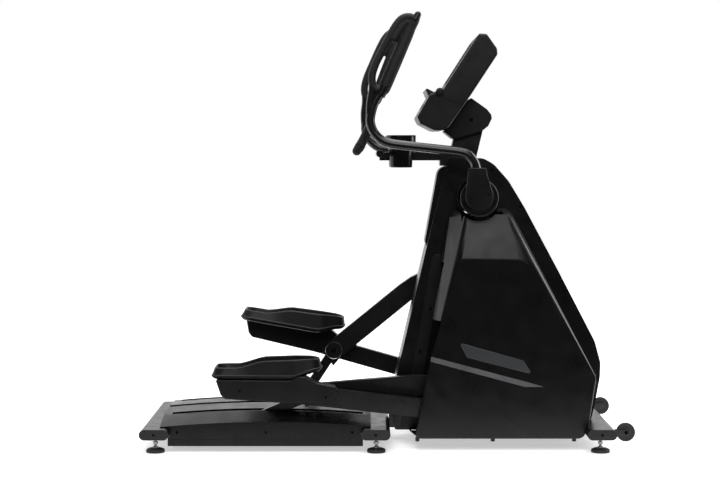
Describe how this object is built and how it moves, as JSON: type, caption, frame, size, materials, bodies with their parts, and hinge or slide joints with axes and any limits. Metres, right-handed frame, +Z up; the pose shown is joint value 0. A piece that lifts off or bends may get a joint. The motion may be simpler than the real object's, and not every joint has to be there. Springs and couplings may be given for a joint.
{
  "type": "elliptical trainer",
  "caption": "Front-drive elliptical trainer with swinging handles, foot pedals on roller links, arched rails, a shrouded crank and a tilted console.",
  "frame": {"origin": "on the floor under the middle of the bounding box", "axes": "+X to the front of the machine, away from the user; +Y to the user's left; +Z up"},
  "size_m": [1.9719, 0.76, 1.7505],
  "materials": {
    "frame_paint": "satin black powder coat",
    "cap_plastic": "dark grey moulded end caps",
    "rail_steel": "ground bare steel",
    "cover_plastic": "satin black moulded plastic",
    "shell_plastic": "satin black moulded plastic with a fine grain",
    "bearing_steel": "bright bearing steel",
    "brake_paint": "dark grey magnet carrier",
    "belt_rubber": "ribbed black belt",
    "badge_metal": "plain satin grey plate",
    "accent_plastic": "charcoal strip",
    "screw_steel": "black oxide screws",
    "console_plastic": "satin black moulded plastic",
    "screen_glass": "dark gloss screen, off",
    "key_rubber": "soft grey keys",
    "grip_rubber": "soft black grip",
    "pulse_grip_plastic": "black grips",
    "cup_plastic": "black moulded cups",
    "wheel_rubber": "dark grey wheels",
    "foot_rubber": "black foot on a zinc stud",
    "pulley_plastic": "black nylon pulley",
    "arm_paint": "satin black powder coat",
    "flywheel_iron": "turned cast iron",
    "hub_plastic": "satin black moulded plastic",
    "pedal_plastic": "textured black moulded plastic",
    "roller_urethane": "dark urethane"
  },
  "bodies": {
    "frame": {"base_spine": "frame_paint", "rear_crossbeam": "frame_paint", "middle_crossbeam": "frame_paint", "front_crossbeam": "frame_paint", "crossbeam_caps": "cap_plastic", "rail_right": "rail_steel", "rail_left": "rail_steel", "rail_cover_right": "cover_plastic", "rail_cover_left": "cover_plastic", "mast": "frame_paint", "pivot_cross_shaft": "rail_steel", "drive_frame": "frame_paint", "drive_bearings": "bearing_steel", "brake_unit": "brake_paint", "drive_belt": "belt_rubber", "centre_shroud_right": "cover_plastic", "centre_shroud_left": "cover_plastic", "side_shell_right": "shell_plastic", "side_shell_left": "shell_plastic", "side_badges": "badge_metal", "accent_strips": "accent_plastic", "cover_screws": "screw_steel", "console_bracket": "console_plastic", "console_housing": "console_plastic", "console_screen": "screen_glass", "handlebar": "frame_paint", "pulse_grips": "pulse_grip_plastic", "cup_holders": "cup_plastic", "wheel_brackets": "frame_paint"},
    "crank": {"crank_shaft": "rail_steel", "drive_pulley": "pulley_plastic", "crank_arms": "arm_paint"},
    "flywheel_rotor": {"flywheel": "flywheel_iron"},
    "idler": {"idler_pulley": "rail_steel"},
    "swing_right": {"swing_arm_right": "arm_paint", "hub_cover_right": "hub_plastic", "hand_grip_right": "grip_rubber"},
    "pedal_unit_right": {"pedal_arm_right": "arm_paint", "pedal_right": "pedal_plastic"},
    "link_right": {"rail_link_right": "arm_paint"},
    "roller_body_right": {"roller_right": "roller_urethane"},
    "transport_wheel_right": {"wheel_right": "wheel_rubber"},
    "swing_left": {"swing_arm_left": "arm_paint", "hub_cover_left": "hub_plastic", "hand_grip_left": "grip_rubber"},
    "pedal_unit_left": {"pedal_arm_left": "arm_paint", "pedal_left": "pedal_plastic"},
    "link_left": {"rail_link_left": "arm_paint"},
    "roller_body_left": {"roller_left": "roller_urethane"},
    "transport_wheel_left": {"wheel_left": "wheel_rubber"},
    "start_button": {"start_key": "key_rubber"},
    "stop_button": {"stop_key": "key_rubber"},
    "plus_button": {"plus_key": "key_rubber"},
    "minus_button": {"minus_key": "key_rubber"},
    "leveller_rear_right": {"foot_rear_right": "foot_rubber"},
    "leveller_rear_left": {"foot_rear_left": "foot_rubber"},
    "leveller_middle_right": {"foot_middle_right": "foot_rubber"},
    "leveller_middle_left": {"foot_middle_left": "foot_rubber"},
    "leveller_front_right": {"foot_front_right": "foot_rubber"},
    "leveller_front_left": {"foot_front_left": "foot_rubber"}
  },
  "joints": [
    {"name": "crank_spin", "type": "hinge", "parent": "frame", "child": "crank", "pos_m": [0.362, 0, 0.43633], "axis": [0, -1, 0], "continuous": true},
    {"name": "flywheel_spin", "type": "hinge", "parent": "frame", "child": "flywheel_rotor", "pos_m": [0.6, 0, 0.3], "axis": [0, -1, 0], "continuous": true},
    {"name": "idler_spin", "type": "hinge", "parent": "frame", "child": "idler", "pos_m": [0.51373, 0.03, 0.26039], "axis": [0, -1, 0], "continuous": true},
    {"name": "swing_right", "type": "hinge", "parent": "frame", "child": "swing_right", "pos_m": [0.37, -0.25, 1.0125], "axis": [0, -1, 0], "range_deg": [-13, 13]},
    {"name": "pedal_pivot_right", "type": "hinge", "parent": "swing_right", "child": "pedal_unit_right", "pos_m": [0.48201, -0.25, 0.15125], "axis": [0, -1, 0], "range_deg": [-11.5, 11.5]},
    {"name": "link_pivot_right", "type": "hinge", "parent": "pedal_unit_right", "child": "link_right", "pos_m": [-0.29357, -0.215, 0.21257], "axis": [0, -1, 0], "range_deg": [-2.6, 2.6]},
    {"name": "roller_spin_right", "type": "hinge", "parent": "link_right", "child": "roller_body_right", "pos_m": [-0.57045, -0.178, 0.09708], "axis": [0, -1, 0], "continuous": true},
    {"name": "swing_left", "type": "hinge", "parent": "frame", "child": "swing_left", "pos_m": [0.37, 0.25, 1.0125], "axis": [0, -1, 0], "range_deg": [-13, 13]},
    {"name": "pedal_pivot_left", "type": "hinge", "parent": "swing_left", "child": "pedal_unit_left", "pos_m": [0.53408, 0.25, 0.15964], "axis": [0, -1, 0], "range_deg": [-10.2, 10.2]},
    {"name": "link_pivot_left", "type": "hinge", "parent": "pedal_unit_left", "child": "link_left", "pos_m": [-0.22081, 0.215, 0.34786], "axis": [0, -1, 0], "range_deg": [-3.5, 3.5]},
    {"name": "roller_spin_left", "type": "hinge", "parent": "link_left", "child": "roller_body_left", "pos_m": [-0.38525, 0.178, 0.09694], "axis": [0, -1, 0], "continuous": true},
    {"name": "wheel_spin_right", "type": "hinge", "parent": "frame", "child": "transport_wheel_right", "pos_m": [0.9485, -0.345, 0.0826], "axis": [0, 1, 0], "continuous": true},
    {"name": "wheel_spin_left", "type": "hinge", "parent": "frame", "child": "transport_wheel_left", "pos_m": [0.9485, 0.345, 0.0826], "axis": [0, 1, 0], "continuous": true},
    {"name": "start_press", "type": "slide", "parent": "frame", "child": "start_button", "axis": [0.8619, 0, -0.507], "range_m": [0, 0.0015], "stiffness_N_per_m": 400, "springref_m": -0.0004},
    {"name": "stop_press", "type": "slide", "parent": "frame", "child": "stop_button", "axis": [0.8619, 0, -0.507], "range_m": [0, 0.0015], "stiffness_N_per_m": 400, "springref_m": -0.0004},
    {"name": "plus_press", "type": "slide", "parent": "frame", "child": "plus_button", "axis": [0.8619, 0, -0.507], "range_m": [0, 0.0015], "stiffness_N_per_m": 400, "springref_m": -0.0004},
    {"name": "minus_press", "type": "slide", "parent": "frame", "child": "minus_button", "axis": [0.8619, 0, -0.507], "range_m": [0, 0.0015], "stiffness_N_per_m": 400, "springref_m": -0.0004},
    {"name": "level_rear_right", "type": "hinge", "parent": "frame", "child": "leveller_rear_right", "pos_m": [-0.925, -0.335, 0.02], "axis": [0, 0, 1], "range_deg": [-180, 180]},
    {"name": "level_rear_left", "type": "hinge", "parent": "frame", "child": "leveller_rear_left", "pos_m": [-0.925, 0.335, 0.02], "axis": [0, 0, 1], "range_deg": [-180, 180]},
    {"name": "level_middle_right", "type": "hinge", "parent": "frame", "child": "leveller_middle_right", "pos_m": [-0.044, -0.335, 0.02], "axis": [0, 0, 1], "range_deg": [-180, 180]},
    {"name": "level_middle_left", "type": "hinge", "parent": "frame", "child": "leveller_middle_left", "pos_m": [-0.044, 0.335, 0.02], "axis": [0, 0, 1], "range_deg": [-180, 180]},
    {"name": "level_front_right", "type": "hinge", "parent": "frame", "child": "leveller_front_right", "pos_m": [0.85, -0.335, 0.02], "axis": [0, 0, 1], "range_deg": [-180, 180]},
    {"name": "level_front_left", "type": "hinge", "parent": "frame", "child": "leveller_front_left", "pos_m": [0.85, 0.335, 0.02], "axis": [0, 0, 1], "range_deg": [-180, 180]}
  ],
  "couplings": [
    {"joint": "flywheel_spin", "follows": "crank_spin", "ratio": 6.3636},
    {"joint": "idler_spin", "follows": "crank_spin", "ratio": -7},
    {"joint": "pedal_pivot_right", "follows": "swing_right", "ratio": -0.864},
    {"joint": "link_pivot_right", "follows": "swing_right", "ratio": -0.178},
    {"joint": "roller_spin_right", "follows": "swing_right", "ratio": -28},
    {"joint": "swing_left", "follows": "swing_right", "ratio": -1},
    {"joint": "pedal_pivot_left", "follows": "swing_right", "ratio": 0.759},
    {"joint": "link_pivot_left", "follows": "swing_right", "ratio": 0.243},
    {"joint": "roller_spin_left", "follows": "swing_right", "ratio": 28}
  ]
}
